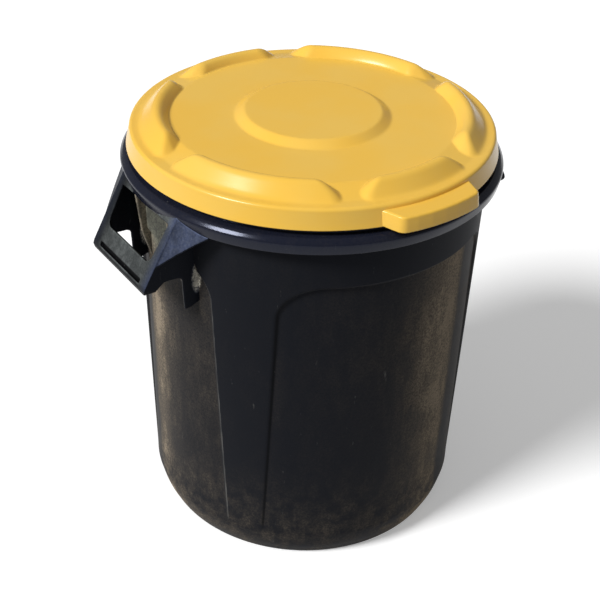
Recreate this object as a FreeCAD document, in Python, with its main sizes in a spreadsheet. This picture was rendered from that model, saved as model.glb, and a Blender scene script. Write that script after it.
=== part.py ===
import FreeCAD, Part
import math
import os
from types import SimpleNamespace
import Sketcher

# Round waste container with a loose lid. The origin is the centre of the base on the floor,
# +Z is up, the two handles lie on the X axis and the front of the container faces -Y.
# Azimuths are measured round the axis from the front towards +X.

doc = FreeCAD.newDocument("waste_container")
sheet = doc.addObject("Spreadsheet::Sheet", "Sizes")

# Driving sizes: millimetres, degrees and shares. A rise, fall, run, inset or flare is measured
# from the neighbouring edge, so that neighbours follow when one size changes.
DRIVING_SIZES = {
    # Container wall and floor
    "wall": 3.4,
    "foot_radius": 202.0,
    "heel_flare": 14.2,
    "heel_height": 40.0,
    "heel_round": 68.0,
    "wall_flare": 12.0,
    "wall_rise": 468.0,
    "floor_thickness": 4.0,
    # Recessed panels and the four ribs between them
    "panel_depth": 5.0,
    "collar_depth": 58.0,
    "panel_fade_rise": 20.0,
    "panel_corner": 45.0,
    "rib_azimuth": 36.4,
    "rib_top_angle": 22.0,
    "rib_foot_angle": 11.5,
    # Rim
    "neck_flare": 2.0,
    "neck_rise": 30.2,
    "bead_reach": 19.4,
    "bead_foot_rise": 3.0,
    "bead_foot_inset": 2.9,
    "bead_rise": 13.0,
    "bead_crown_inset": 6.6,
    "bead_crown_rise": 7.5,
    "bead_round": 8.0,
    # Handles: a sloping plate with a hand hole over a hooked grip bar
    "handle_plate": 4.0,
    "handle_width": 138.0,
    "handle_reach": 40.7,
    "handle_fall": 74.3,
    "grip_rise": 27.3,
    "grip_round": 9.0,
    "grip_corner": 9.0,
    "lip_fall": 9.7,
    "lip_depth": 13.0,
    "hand_hole_side": 14.0,
    "hand_hole_round": 10.0,
    "grip_groove_width": 4.4,
    "grip_groove_depth": 2.4,
    "grip_groove_end": 3.0,
    "grip_groove_share": 0.72,
    "cheek_arch_rise": 13.5,
    "cheek_arch_run": 10.0,
    "cheek_tail_fall": 48.5,
    "cheek_tail_depth": 17.5,
    "cheek_tail_foot_depth": 20.5,
    "wing_azimuth": 26.5,
    "wing_plate": 3.0,
    "handle_rib_spacing": 80.0,
    "handle_rib_width": 4.0,
    "handle_rib_depth": 13.0,
    "handle_rib_knee_depth": 7.5,
    "handle_rib_heel_depth": 1.5,
    "handle_rib_heel_fall": 39.0,
    "handle_rib_foot_fall": 78.0,
    "handle_trim_fall": 10.0,
    # Lid
    "lid_wall": 3.0,
    "lid_turn": 2.0,
    "lid_seat_gap": 0.3,
    "skirt_clearance": 4.2,
    "skirt_flare": 4.6,
    "skirt_drop": 25.6,
    "lid_edge_round": 5.0,
    "margin_width": 17.4,
    "panel_rise": 7.0,
    "panel_run": 33.0,
    "disc_foot_radius": 100.4,
    "disc_run": 12.4,
    "disc_rise": 8.0,
    "long_crescent_azimuth": 57.2,
    "long_crescent_angle": 55.0,
    "short_crescent_angle": 36.0,
    "crescent_rise": 12.3,
    "crescent_lap": 5.0,
    "crescent_inner_run": 13.0,
    "crest_width": 8.0,
    "crescent_outer_run": 18.5,
    "tab_depth": 23.0,
    "tab_drop": 6.0,
    "tab_half_angle": 12.5,
    "tab_root_half_angle": 17.0,
    "tab_corner": 10.0,
    "overrun": 20.0,
}

for row, (alias, value) in enumerate(DRIVING_SIZES.items(), start=1):
    sheet.set(f"A{row}", alias.replace("_", " "))
    sheet.set(f"B{row}", str(value))
    sheet.setAlias(f"B{row}", alias)
doc.recompute()


# A value read from the sheet that also carries the formula which binds a feature to it.
class Size:
    def __init__(self, value, text):
        self.value = float(value)
        self.text = text

    def __add__(self, other):
        return Size(self.value + other.value, f"({self.text} + {other.text})")

    def __sub__(self, other):
        return Size(self.value - other.value, f"({self.text} - {other.text})")

    def __mul__(self, other):
        return Size(self.value * other.value, f"({self.text} * {other.text})")

    def __truediv__(self, other):
        return Size(self.value / other.value, f"({self.text} / {other.text})")

    def __neg__(self):
        return Size(-self.value, f"(0 - {self.text})")


def half(length):
    return Size(length.value / 2, f"({length.text} / 2)")


def twice(length):
    return Size(length.value * 2, f"({length.text} * 2)")


def root(square):
    return Size(math.sqrt(square.value), f"sqrt({square.text})")


def sine(angle):
    return Size(math.sin(math.radians(angle.value)), f"sin({angle.text})")


def cosine(angle):
    return Size(math.cos(math.radians(angle.value)), f"cos({angle.text})")


def arc_tangent(ratio):
    return Size(math.degrees(math.atan(ratio.value)), f"(atan({ratio.text}) / 1 deg)")


ZERO = Size(0, "0")
TWO = Size(2, "2")
QUARTER_TURN = Size(90, "90")
size = SimpleNamespace(**{name: Size(sheet.get(name), f"Sizes.{name}") for name in DRIVING_SIZES})

# Container: radii and heights from the floor up.
size.wall_foot_radius = size.foot_radius + size.heel_flare
size.wall_top_radius = size.wall_foot_radius + size.wall_flare
size.wall_top_height = size.heel_height + size.wall_rise
size.panel_fade_height = size.heel_height + size.panel_fade_rise
size.panel_top_height = size.wall_top_height - size.collar_depth
size.neck_top_radius = size.wall_top_radius + size.neck_flare
size.bead_radius = size.wall_top_radius + size.bead_reach
size.bead_foot_radius = size.bead_radius - size.bead_foot_inset
size.bead_foot_height = size.wall_top_height + size.bead_foot_rise
size.bead_height = size.bead_foot_height + size.bead_rise
size.bead_crown_radius = size.bead_radius - size.bead_crown_inset
size.bead_crown_height = size.bead_height + size.bead_crown_rise
mouth_height = size.bead_crown_height + size.neck_rise
crown_under = size.bead_crown_height - size.wall

# Handles, from the underside of the bead down.
size.grip_foot_reach = size.bead_foot_radius + size.handle_reach
size.grip_foot_height = size.bead_foot_height - size.handle_fall
size.grip_top_height = size.grip_foot_height + size.grip_rise
size.lip_height = size.grip_foot_height - size.lip_fall
size.hand_hole_width = size.handle_width - twice(size.hand_hole_side)
size.grip_groove_length = size.hand_hole_width - twice(size.grip_groove_end)
size.cheek_arch_height = size.lip_height + size.cheek_arch_rise
size.cheek_tail_height = size.cheek_arch_height - size.cheek_tail_fall
size.handle_rib_heel = size.panel_top_height - size.handle_rib_heel_fall
size.handle_rib_foot = size.panel_top_height - size.handle_rib_foot_fall
size.handle_trim_height = size.panel_top_height - size.handle_trim_fall

# Lid, seated on the mouth of the neck.
size.margin_height = mouth_height + size.lid_seat_gap + size.lid_wall
size.skirt_top_radius = size.neck_top_radius + size.skirt_clearance
size.skirt_foot_radius = size.skirt_top_radius + size.skirt_flare
size.skirt_foot_height = size.margin_height - size.skirt_drop
size.margin_inner_radius = size.skirt_top_radius - size.margin_width
size.panel_radius = size.margin_inner_radius - size.panel_run
size.panel_height = size.margin_height + size.panel_rise
size.disc_top_radius = size.disc_foot_radius - size.disc_run
size.disc_height = size.panel_height + size.disc_rise
size.crescent_height = size.panel_height + size.crescent_rise
size.crescent_inner_foot = size.panel_radius - size.crescent_lap
size.crescent_inner_top = size.crescent_inner_foot + size.crescent_inner_run
size.crescent_outer_top = size.crescent_inner_top + size.crest_width
size.crescent_outer_foot = size.crescent_outer_top + size.crescent_outer_run
size.tab_reach = size.skirt_foot_radius + size.tab_depth
size.tab_height = size.margin_height - size.tab_drop
skirt_top_height = size.margin_height - size.lid_edge_round


# Outer radius of the tapered wall at a height.
def wall_radius(height):
    slope = (size.wall_top_radius - size.wall_foot_radius) / (size.wall_top_height - size.heel_height)
    return size.wall_foot_radius + (height - size.heel_height) * slope


# Outer radius of the recessed panels at a height.
def recess_radius(height):
    fall = size.panel_depth / (size.panel_top_height - size.panel_fade_height)
    return wall_radius(height) - (height - size.panel_fade_height) * fall


# Outer radius of the neck, between the wall's top and the mouth.
def neck_radius(height):
    slope = (size.neck_top_radius - size.wall_top_radius) / (mouth_height - size.wall_top_height)
    return size.wall_top_radius + (height - size.wall_top_height) * slope


# Reach of the handle plate's outer face at a height.
def handle_face(height):
    return size.bead_foot_radius + (size.bead_foot_height - height) * (size.handle_reach / size.handle_fall)


# Reach of a round surface at a distance from the handle's middle.
def reach_beside(radius, beside):
    return root(radius * radius - beside * beside)


# A point in plan from a radius and an azimuth.
def plan(radius, azimuth):
    return radius * sine(azimuth), -(radius * cosine(azimuth))


def new_body(label):
    body = doc.addObject("PartDesign::Body", label)
    body.Label = label
    return body


def origin_feature(body, role):
    return next(feature for feature in body.Origin.OriginFeatures if feature.Role == role)


# The arc that leaves a corner: its radius, and whether it turns left along the outline.
def bend(radius, left=True):
    return SimpleNamespace(radius=radius, left=left)


def bend_geometry(here, there, arc):
    chord = there - here
    middle = (here + there) * 0.5
    left_normal = FreeCAD.Vector(-chord.y, chord.x, 0).normalize()
    rise = math.sqrt(arc.radius.value ** 2 - (chord.Length / 2) ** 2)
    centre = middle + left_normal * (rise if arc.left else -rise)
    circle = Part.Circle(centre, FreeCAD.Vector(0, 0, 1), arc.radius.value)
    first, last = (here, there) if arc.left else (there, here)
    angles = [math.atan2(end.y - centre.y, end.x - centre.x) for end in (first, last)]
    return Part.ArcOfCircle(circle, *angles)


# A closed outline on one of the body's own planes. Every corner is held to the sheet by its two
# coordinates; a third entry is the arc that leaves the corner.
def outline(body, name, role, corners, lift=None):
    sketch = body.newObject("Sketcher::SketchObject", name)
    sketch.AttachmentSupport = [(origin_feature(body, role), "")]
    sketch.MapMode = "FlatFace"
    if lift is not None:
        sketch.setExpression("AttachmentOffset.Base.z", lift.text)
    points = [FreeCAD.Vector(corner[0].value, corner[1].value, 0) for corner in corners]
    constraints = []
    formulas = []
    ends = []
    for index, corner in enumerate(corners):
        there = points[(index + 1) % len(points)]
        if len(corner) == 3:
            edge = sketch.addGeometry(bend_geometry(points[index], there, corner[2]))
            ends.append((edge, 1, 2) if corner[2].left else (edge, 2, 1))
            formulas.append((len(constraints), corner[2].radius.text))
            constraints.append(Sketcher.Constraint("Radius", edge, corner[2].radius.value))
        else:
            edge = sketch.addGeometry(Part.LineSegment(points[index], there))
            ends.append((edge, 1, 2))
    for index, (edge, start, end) in enumerate(ends):
        after = ends[(index + 1) % len(ends)]
        constraints.append(Sketcher.Constraint("Coincident", edge, end, after[0], after[1]))
        for kind, axis, coordinate in (("DistanceX", -2, corners[index][0]), ("DistanceY", -1, corners[index][1])):
            if coordinate is ZERO:
                constraints.append(Sketcher.Constraint("PointOnObject", edge, start, axis))
            else:
                formulas.append((len(constraints), coordinate.text))
                constraints.append(Sketcher.Constraint(kind, -1, 1, edge, start, coordinate.value))
    sketch.addConstraint(constraints)
    for index, text in formulas:
        sketch.setExpression(f"Constraints[{index}]", text)
    return sketch


# Swings a section on the XZ plane about the vertical axis, by an angle from +X towards +Y.
def aim(section, direction):
    section.AttachmentOffset = FreeCAD.Placement(FreeCAD.Vector(), FreeCAD.Rotation(FreeCAD.Vector(0, 1, 0), 0))
    section.setExpression("AttachmentOffset.Rotation.Angle", direction.text)


# A section turned about the vertical axis, all round or through an angle centred on its plane.
def turned(body, name, section, angle=None, cut=False):
    feature = body.newObject("PartDesign::Groove" if cut else "PartDesign::Revolution", name)
    feature.Profile = section
    feature.ReferenceAxis = (section, ["V_Axis"])
    feature.Angle = 360
    if angle is not None:
        feature.Midplane = True
        feature.setExpression("Angle", angle.text)
    return feature


# An outline given a depth: half to each side of its plane, or all to one side.
def padded(body, name, section, length, cut=False, one_side=False, backwards=False):
    feature = body.newObject("PartDesign::Pocket" if cut else "PartDesign::Pad", name)
    feature.Profile = section
    feature.SideType = "One side" if one_side else "Symmetric"
    feature.Reversed = backwards
    feature.setExpression("Length", length.text)
    return feature


def mirrored(body, name, original, role):
    feature = body.newObject("PartDesign::Mirrored", name)
    feature.Originals = [original]
    feature.MirrorPlane = (origin_feature(body, role), [""])
    body.Tip = feature
    return feature


def repeated(body, name, original, count):
    feature = body.newObject("PartDesign::PolarPattern", name)
    feature.Originals = [original]
    feature.Axis = (origin_feature(body, "Z_Axis"), [""])
    feature.Angle = 360
    feature.setExpression("Occurrences", count.text)
    body.Tip = feature
    return feature


# Flat floor of the container with its rounded heel.
def make_base():
    body = new_body("container_base")
    section = outline(body, "base_section", "XZ_Plane", [
        (ZERO, ZERO),
        (size.foot_radius, ZERO, bend(size.heel_round)),
        (size.wall_foot_radius, size.heel_height),
        (size.wall_foot_radius - size.wall, size.heel_height, bend(size.heel_round - size.wall, left=False)),
        (size.foot_radius - half(size.wall), size.floor_thickness),
        (ZERO, size.floor_thickness),
    ])
    turned(body, "base_turned", section)
    return body


# Everything outside the recessed surface that a panel is cut back to.
def make_recess_space():
    core = doc.addObject("Part::Cone", "recess_core")
    core.setExpression("Radius1", recess_radius(ZERO).text)
    core.setExpression("Radius2", recess_radius(size.wall_top_height).text)
    core.setExpression("Height", size.wall_top_height.text)
    around = doc.addObject("Part::Cylinder", "recess_around")
    around.setExpression("Radius", (size.wall_top_radius + size.overrun).text)
    around.setExpression("Height", size.wall_top_height.text)
    space = doc.addObject("Part::Cut", "recess_space")
    space.Base = around
    space.Tool = core
    return space


# The panel outlines, wide ones at the front and back and narrow ones under the handles.
def make_panel_windows():
    body = new_body("panel_windows")
    corner_height = size.panel_top_height - size.panel_corner
    length = twice(size.wall_top_radius + size.overrun)
    for name, role, mid_angle in (
        ("front", "XZ_Plane", QUARTER_TURN - size.rib_azimuth),
        ("side", "YZ_Plane", size.rib_azimuth),
    ):
        top = wall_radius(corner_height) * sine(mid_angle - half(size.rib_top_angle))
        foot = wall_radius(size.heel_height) * sine(mid_angle - half(size.rib_foot_angle))
        section = outline(body, f"{name}_window_outline", role, [
            (-foot, size.heel_height),
            (foot, size.heel_height),
            (top, corner_height, bend(size.panel_corner)),
            (top - size.panel_corner, size.panel_top_height),
            (size.panel_corner - top, size.panel_top_height, bend(size.panel_corner)),
            (-top, corner_height),
        ])
        padded(body, f"{name}_window", section, length)
    return body


# Hollow behind each rib, so that the ribs are as thin as the rest of the wall.
def cut_rib_channels(body, name, direction, top_height):
    foot = wall_radius(size.panel_fade_height) - size.wall
    top = wall_radius(top_height) - size.wall
    section = outline(body, f"{name}_channel_section", "XZ_Plane", [
        (foot - size.overrun, size.panel_fade_height),
        (foot, size.panel_fade_height),
        (top, top_height),
        (top - size.overrun, top_height),
    ])
    aim(section, direction)
    angle = size.rib_foot_angle - twice(arc_tangent(size.wall / size.wall_foot_radius))
    channel = turned(body, f"{name}_channel", section, angle=angle, cut=True)
    repeated(body, f"{name}_channels", channel, TWO)


# Tapered wall: the panels are cut back from it, which leaves four ribs and the collar proud.
def make_wall():
    shell = new_body("wall_shell")
    collar_floor = size.panel_top_height + size.wall
    section = outline(shell, "wall_section", "XZ_Plane", [
        (size.wall_foot_radius - size.wall, size.heel_height),
        (size.wall_foot_radius, size.heel_height),
        (size.wall_top_radius, size.wall_top_height),
        (size.wall_top_radius - size.wall, size.wall_top_height),
        (wall_radius(collar_floor) - size.wall, collar_floor),
        (wall_radius(size.panel_top_height) - size.panel_depth - size.wall, size.panel_top_height - size.wall),
    ])
    turned(shell, "wall_turned", section)
    for name, direction in (("front", -size.rib_azimuth), ("back", size.rib_azimuth)):
        cut_rib_channels(shell, name, direction, collar_floor)
    panels = doc.addObject("Part::MultiCommon", "panel_recesses")
    panels.Shapes = [make_recess_space(), make_panel_windows()]
    wall = doc.addObject("Part::Cut", "container_wall")
    wall.Base = shell
    wall.Tool = panels
    wall.Label = "container_wall"
    return wall


# Neck that the lid drops over, with the hollow bead round it.
def make_rim():
    body = new_body("container_rim")
    bead_inner = size.bead_radius - size.wall
    section = outline(body, "rim_section", "XZ_Plane", [
        (size.wall_top_radius - size.wall, size.wall_top_height),
        (size.wall_top_radius, size.wall_top_height),
        (neck_radius(crown_under), crown_under),
        (size.bead_crown_radius - half(size.wall), crown_under),
        (bead_inner, size.bead_height),
        (size.bead_foot_radius - size.wall, size.bead_foot_height),
        (size.bead_foot_radius, size.bead_foot_height),
        (size.bead_radius, size.bead_height, bend(size.bead_round)),
        (size.bead_crown_radius, size.bead_crown_height),
        (neck_radius(size.bead_crown_height), size.bead_crown_height),
        (size.neck_top_radius, mouth_height),
        (size.neck_top_radius - size.wall, mouth_height),
    ])
    turned(body, "rim_turned", section)
    return body


# Takes away whatever of a handle would lie inside the wall or the rim.
def trim_to_container(body, name):
    low = size.handle_rib_foot - size.overrun
    section = outline(body, f"{name}_outline", "XZ_Plane", [
        (ZERO, low),
        (recess_radius(low), low),
        (recess_radius(size.handle_trim_height), size.handle_trim_height),
        (wall_radius(size.handle_trim_height), size.handle_trim_height),
        (wall_radius(size.bead_foot_height), size.bead_foot_height),
        (size.bead_foot_radius, size.bead_foot_height),
        (size.bead_radius, size.bead_height),
        (size.bead_radius, size.bead_height + size.overrun),
        (ZERO, size.bead_height + size.overrun),
    ])
    return turned(body, name, section, cut=True)


# Handle: sloping plate, hooked grip bar, two cheeks back to the wall and two flared wings. The
# plate's two posts run up on to the bead, and the hand hole between them is open up to it.
def make_handle(label, turn):
    body = new_body(label)
    inside = size.foot_radius - size.overrun
    run = size.handle_reach
    fall = size.handle_fall
    slant = root(run * run + fall * fall)
    plate_across = size.handle_plate * slant / fall
    lip_outer = size.grip_foot_reach - half(size.grip_round)
    lip_inner = lip_outer - size.lip_depth
    lip_top = size.lip_height + size.handle_plate
    arch_reach = lip_inner - size.cheek_arch_run
    beside = half(size.handle_width)
    tail_reach = reach_beside(wall_radius(size.cheek_arch_height), beside) + size.cheek_tail_depth
    tail_foot_reach = reach_beside(recess_radius(size.cheek_tail_height), beside) + size.cheek_tail_foot_depth
    side = outline(body, "side_outline", "XZ_Plane", [
        (inside, size.cheek_tail_height),
        (tail_foot_reach, size.cheek_tail_height),
        (tail_reach, size.cheek_arch_height),
        (arch_reach, size.cheek_arch_height),
        (lip_inner, size.lip_height),
        (lip_outer, size.lip_height, bend(size.grip_round)),
        (size.grip_foot_reach, size.grip_foot_height),
        (handle_face(size.bead_height), size.bead_height),
        (inside, size.bead_height),
    ])
    padded(body, "side_pad", side, size.handle_width)
    cavity = outline(body, "cavity_outline", "XZ_Plane", [
        (inside - size.overrun, size.cheek_tail_height - size.overrun),
        (lip_inner, size.cheek_tail_height - size.overrun),
        (lip_inner, lip_top),
        (lip_outer - half(size.handle_plate), lip_top),
        (size.grip_foot_reach - plate_across, size.grip_foot_height),
        (size.bead_foot_radius - plate_across, size.bead_foot_height),
        (inside - size.overrun, size.bead_foot_height),
    ])
    inner_width = size.handle_width - size.handle_plate - size.handle_plate
    padded(body, "cavity", cavity, inner_width, cut=True)
    hole_half = half(size.hand_hole_width)
    hole = outline(body, "hand_hole_outline", "YZ_Plane", [
        (size.hand_hole_round - hole_half, size.grip_top_height),
        (hole_half - size.hand_hole_round, size.grip_top_height, bend(size.hand_hole_round)),
        (hole_half, size.grip_top_height + size.hand_hole_round),
        (hole_half, size.bead_height),
        (-hole_half, size.bead_height),
        (-hole_half, size.grip_top_height + size.hand_hole_round, bend(size.hand_hole_round)),
    ], lift=wall_radius(size.bead_foot_height))
    hole_length = size.grip_foot_reach - size.wall_foot_radius
    padded(body, "hand_hole", hole, hole_length, cut=True, one_side=True, backwards=True)
    grip_fall = (size.grip_top_height - size.grip_foot_height) * size.grip_groove_share
    groove_height = size.grip_top_height - grip_fall
    groove_reach = handle_face(groove_height)
    along = (run * size.grip_groove_width / slant, fall * size.grip_groove_width / slant)
    inward = (fall * size.grip_groove_depth / slant, run * size.grip_groove_depth / slant)
    outward = (fall * size.handle_plate / slant, run * size.handle_plate / slant)
    groove = outline(body, "grip_groove_outline", "XZ_Plane", [
        (groove_reach - inward[0], groove_height - inward[1]),
        (groove_reach - inward[0] + along[0], groove_height - inward[1] - along[1]),
        (groove_reach + outward[0] + along[0], groove_height + outward[1] - along[1]),
        (groove_reach + outward[0], groove_height + outward[1]),
    ])
    padded(body, "grip_groove", groove, size.grip_groove_length, cut=True)
    corner_height = size.lip_height + size.grip_corner
    corner = outline(body, "grip_corner_outline", "YZ_Plane", [
        (beside, corner_height, bend(size.grip_corner, left=False)),
        (beside - size.grip_corner, size.lip_height),
        (beside - size.grip_corner, size.lip_height - size.overrun),
        (beside + size.overrun, size.lip_height - size.overrun),
        (beside + size.overrun, corner_height),
    ], lift=lip_inner)
    corner_length = size.lip_depth + size.overrun
    corner_cut = padded(body, "grip_corner", corner, corner_length, cut=True, one_side=True, backwards=True)
    mirrored(body, "grip_corners", corner_cut, "XZ_Plane")
    edge = half(size.handle_width) - half(size.wing_plate)
    tip = (size.bead_foot_radius * cosine(size.wing_azimuth), size.bead_foot_radius * sine(size.wing_azimuth))
    back = (size.bead_foot_radius - tip[0], tip[1] - edge)
    flare = root(back[0] * back[0] + back[1] * back[1])
    thick = (size.wing_plate * back[1] / flare, size.wing_plate * back[0] / flare)
    point = (size.wing_plate * back[0] / flare, size.wing_plate * back[1] / flare)
    low_reach = handle_face(size.grip_top_height)
    wing_top = outline(body, "wing_top_outline", "XY_Plane", [
        (size.bead_foot_radius, edge),
        tip,
        (tip[0] - thick[0], tip[1] - thick[1]),
        (size.bead_foot_radius - thick[0], edge - thick[1]),
    ], lift=size.bead_foot_height)
    wing_foot = outline(body, "wing_foot_outline", "XY_Plane", [
        (low_reach, edge),
        (low_reach - point[0], edge + point[1]),
        (low_reach - point[0] - thick[0], edge + point[1] - thick[1]),
        (low_reach - thick[0], edge - thick[1]),
    ], lift=size.grip_top_height)
    wing = body.newObject("PartDesign::AdditiveLoft", "wing")
    wing.Profile = wing_top
    wing.Sections = [wing_foot]
    wing.Ruled = True
    mirrored(body, "wings", wing, "XZ_Plane")
    trim_to_container(body, "handle_trim")
    body.Placement = FreeCAD.Placement(FreeCAD.Vector(), FreeCAD.Rotation(FreeCAD.Vector(0, 0, 1), turn))
    return body


# The pair of upright ribs behind a handle, deepest under the bead.
def make_handle_ribs(label, turn):
    body = new_body(label)
    inside = size.foot_radius - size.overrun
    beside = half(size.handle_rib_spacing)
    foot_reach = reach_beside(recess_radius(size.handle_rib_foot), beside)
    heel_reach = reach_beside(recess_radius(size.handle_rib_heel), beside) + size.handle_rib_heel_depth
    knee_reach = reach_beside(wall_radius(size.panel_top_height), beside) + size.handle_rib_knee_depth
    top_reach = reach_beside(wall_radius(size.bead_foot_height), beside) + size.handle_rib_depth
    section = outline(body, "rib_outline", "XZ_Plane", [
        (inside, size.handle_rib_foot),
        (foot_reach, size.handle_rib_foot),
        (heel_reach, size.handle_rib_heel),
        (knee_reach, size.panel_top_height),
        (top_reach, size.bead_foot_height),
        (inside, size.bead_foot_height),
    ], lift=half(size.handle_rib_spacing - size.handle_rib_width))
    rib = padded(body, "rib", section, size.handle_rib_width, one_side=True)
    mirrored(body, "ribs", rib, "XZ_Plane")
    trim_to_container(body, "rib_trim")
    body.Placement = FreeCAD.Placement(FreeCAD.Vector(), FreeCAD.Rotation(FreeCAD.Vector(0, 0, 1), turn))
    return body


# A raised crescent on the lid and the one across from it, hollow underneath.
def add_crescents(body, name, direction, angle):
    inset = size.lid_wall
    hollow_angle = angle - twice(arc_tangent(inset / size.crescent_inner_top))
    for part, margin, lower, span, cut in (
        ("crescent", ZERO, inset, angle, False),
        ("hollow", inset, inset + inset, hollow_angle, True),
    ):
        section = outline(body, f"{name}_{part}_section", "XZ_Plane", [
            (size.crescent_inner_foot + margin, size.panel_height - lower),
            (size.crescent_outer_foot - margin, size.margin_height - lower),
            (size.crescent_outer_foot - margin, size.margin_height - margin),
            (size.crescent_outer_top - margin, size.crescent_height - margin),
            (size.crescent_inner_top + margin, size.crescent_height - margin),
            (size.crescent_inner_foot + margin, size.panel_height - margin),
        ])
        aim(section, direction)
        one = turned(body, f"{name}_{part}", section, angle=span, cut=cut)
        repeated(body, f"{name}_{part}s", one, TWO)


# Lid: a skirted cover with a raised disc and a ring of raised crescents, all of one thickness.
def make_lid_cover():
    body = new_body("lid_cover")
    inset = size.lid_wall
    skirt_inner = size.skirt_top_radius - inset
    edge_inner = size.skirt_top_radius - size.lid_edge_round
    section = outline(body, "cover_section", "XZ_Plane", [
        (ZERO, size.disc_height - inset),
        (size.disc_top_radius - inset, size.disc_height - inset),
        (size.disc_foot_radius - inset, size.panel_height - inset),
        (size.panel_radius - inset, size.panel_height - inset),
        (size.margin_inner_radius - inset, size.margin_height - inset),
        (skirt_inner, size.margin_height - inset),
        (size.skirt_foot_radius - inset, size.skirt_foot_height),
        (size.skirt_foot_radius, size.skirt_foot_height),
        (size.skirt_top_radius, skirt_top_height, bend(size.lid_edge_round)),
        (edge_inner, size.margin_height),
        (size.margin_inner_radius, size.margin_height),
        (size.panel_radius, size.panel_height),
        (size.disc_foot_radius, size.panel_height),
        (size.disc_top_radius, size.disc_height),
        (ZERO, size.disc_height),
    ])
    turned(body, "cover_turned", section)
    beside = QUARTER_TURN - size.long_crescent_azimuth
    add_crescents(body, "middle", QUARTER_TURN, size.short_crescent_angle)
    add_crescents(body, "right", -beside, size.long_crescent_angle)
    add_crescents(body, "left", beside, size.long_crescent_angle)
    body.setExpression("Placement.Rotation.Angle", size.lid_turn.text)
    return body


# Pull tab at the front of the skirt, open underneath for the fingers.
def make_pull_tab():
    body = new_body("lid_pull_tab")
    root_radius = size.skirt_top_radius - size.lid_wall
    corner_angle = arc_tangent(size.tab_corner / size.tab_reach)
    outer_angle = size.tab_half_angle - corner_angle
    side_radius = size.tab_reach - size.tab_corner
    body_outline = outline(body, "tab_outline", "XY_Plane", [
        plan(root_radius, -size.tab_root_half_angle),
        (*plan(side_radius, -size.tab_half_angle), bend(size.tab_corner)),
        (*plan(size.tab_reach, -outer_angle), bend(size.tab_reach)),
        (*plan(size.tab_reach, outer_angle), bend(size.tab_corner)),
        plan(side_radius, size.tab_half_angle),
        plan(root_radius, size.tab_root_half_angle),
    ], lift=size.skirt_foot_height)
    padded(body, "tab_pad", body_outline, size.tab_height - size.skirt_foot_height, one_side=True)
    wall_angle = arc_tangent(size.lid_wall / size.tab_reach)
    inner_radius = size.tab_reach - size.lid_wall
    hollow = outline(body, "tab_hollow_outline", "XY_Plane", [
        plan(root_radius - size.lid_wall, -(size.tab_root_half_angle - wall_angle)),
        (*plan(inner_radius, -(outer_angle - wall_angle)), bend(inner_radius)),
        plan(inner_radius, outer_angle - wall_angle),
        plan(root_radius - size.lid_wall, size.tab_root_half_angle - wall_angle),
    ], lift=size.skirt_foot_height - size.lid_wall)
    hollow_depth = size.tab_height - size.skirt_foot_height
    padded(body, "tab_hollow", hollow, hollow_depth, cut=True, one_side=True, backwards=True)
    slope = (size.skirt_foot_radius - size.skirt_top_radius) / (skirt_top_height - size.skirt_foot_height)
    low = size.skirt_foot_height - size.overrun
    trim = outline(body, "tab_trim_outline", "XZ_Plane", [
        (ZERO, low),
        (size.skirt_foot_radius + slope * size.overrun, low),
        (size.skirt_top_radius, skirt_top_height),
        (ZERO, skirt_top_height),
    ])
    turned(body, "tab_trim", trim, cut=True)
    body.setExpression("Placement.Rotation.Angle", size.lid_turn.text)
    return body


sub_parts = [
    make_base(),
    make_wall(),
    make_rim(),
    make_handle("right_handle", 0),
    make_handle("left_handle", 180),
    make_handle_ribs("right_handle_ribs", 0),
    make_handle_ribs("left_handle_ribs", 180),
    make_lid_cover(),
    make_pull_tab(),
]
doc.recompute()

for item in doc.Objects:
    faults = [state for state in item.State if state in ("Invalid", "Error")]
    if faults:
        raise ValueError(f"{item.Label} is {faults}")
for item in sub_parts:
    if item.Shape.isNull() or not item.Shape.isValid():
        raise ValueError(f"{item.Label} has no valid shape")

os.makedirs("parts", exist_ok=True)
for item in sub_parts:
    item.Shape.exportStep(f"parts/{item.Label}.step")
    box = item.Shape.BoundBox
    print(item.Label, "solids", len(item.Shape.Solids), "volume", round(item.Shape.Volume),
          "x", round(box.XMin, 1), round(box.XMax, 1), "y", round(box.YMin, 1), round(box.YMax, 1),
          "z", round(box.ZMin, 1), round(box.ZMax, 1))
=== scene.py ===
import math

import bmesh
import bpy
import numpy as np
from mathutils import Matrix, Vector


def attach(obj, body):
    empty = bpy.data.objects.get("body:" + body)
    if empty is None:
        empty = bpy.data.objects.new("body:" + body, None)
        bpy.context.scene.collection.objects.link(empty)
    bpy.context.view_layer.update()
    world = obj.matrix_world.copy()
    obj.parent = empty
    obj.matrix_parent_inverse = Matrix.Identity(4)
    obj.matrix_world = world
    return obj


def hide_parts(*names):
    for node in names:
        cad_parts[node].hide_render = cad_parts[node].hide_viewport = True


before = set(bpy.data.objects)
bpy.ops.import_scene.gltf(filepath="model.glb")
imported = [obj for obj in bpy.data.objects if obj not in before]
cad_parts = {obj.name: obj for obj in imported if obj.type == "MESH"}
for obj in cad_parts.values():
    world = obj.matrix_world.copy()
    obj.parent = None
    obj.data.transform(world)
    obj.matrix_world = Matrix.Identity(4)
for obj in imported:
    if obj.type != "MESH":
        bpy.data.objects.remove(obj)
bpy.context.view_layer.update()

mm = 0.001
print("frame loaded:", len(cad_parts), "nodes")


# colours are written in sRGB hex and turned to linear here
def linear(hexColour):
    parts = [int(hexColour[place:place + 2], 16) / 255 for place in (1, 3, 5)]
    return (*[part / 12.92 if part <= 0.04045 else ((part + 0.055) / 1.055) ** 2.4 for part in parts], 1)


# adds a shader node with its settings and links, and gives one of its outputs
def addNode(tree, kind, inputs=None, out=0, **settings):
    made = tree.nodes.new("ShaderNode" + kind)
    for key, value in settings.items():
        setattr(made, key, value)
    for socket, value in (inputs or {}).items():
        if isinstance(value, bpy.types.NodeSocket):
            tree.links.new(value, made.inputs[socket])
        else:
            made.inputs[socket].default_value = value
    return made.outputs[out]


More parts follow.
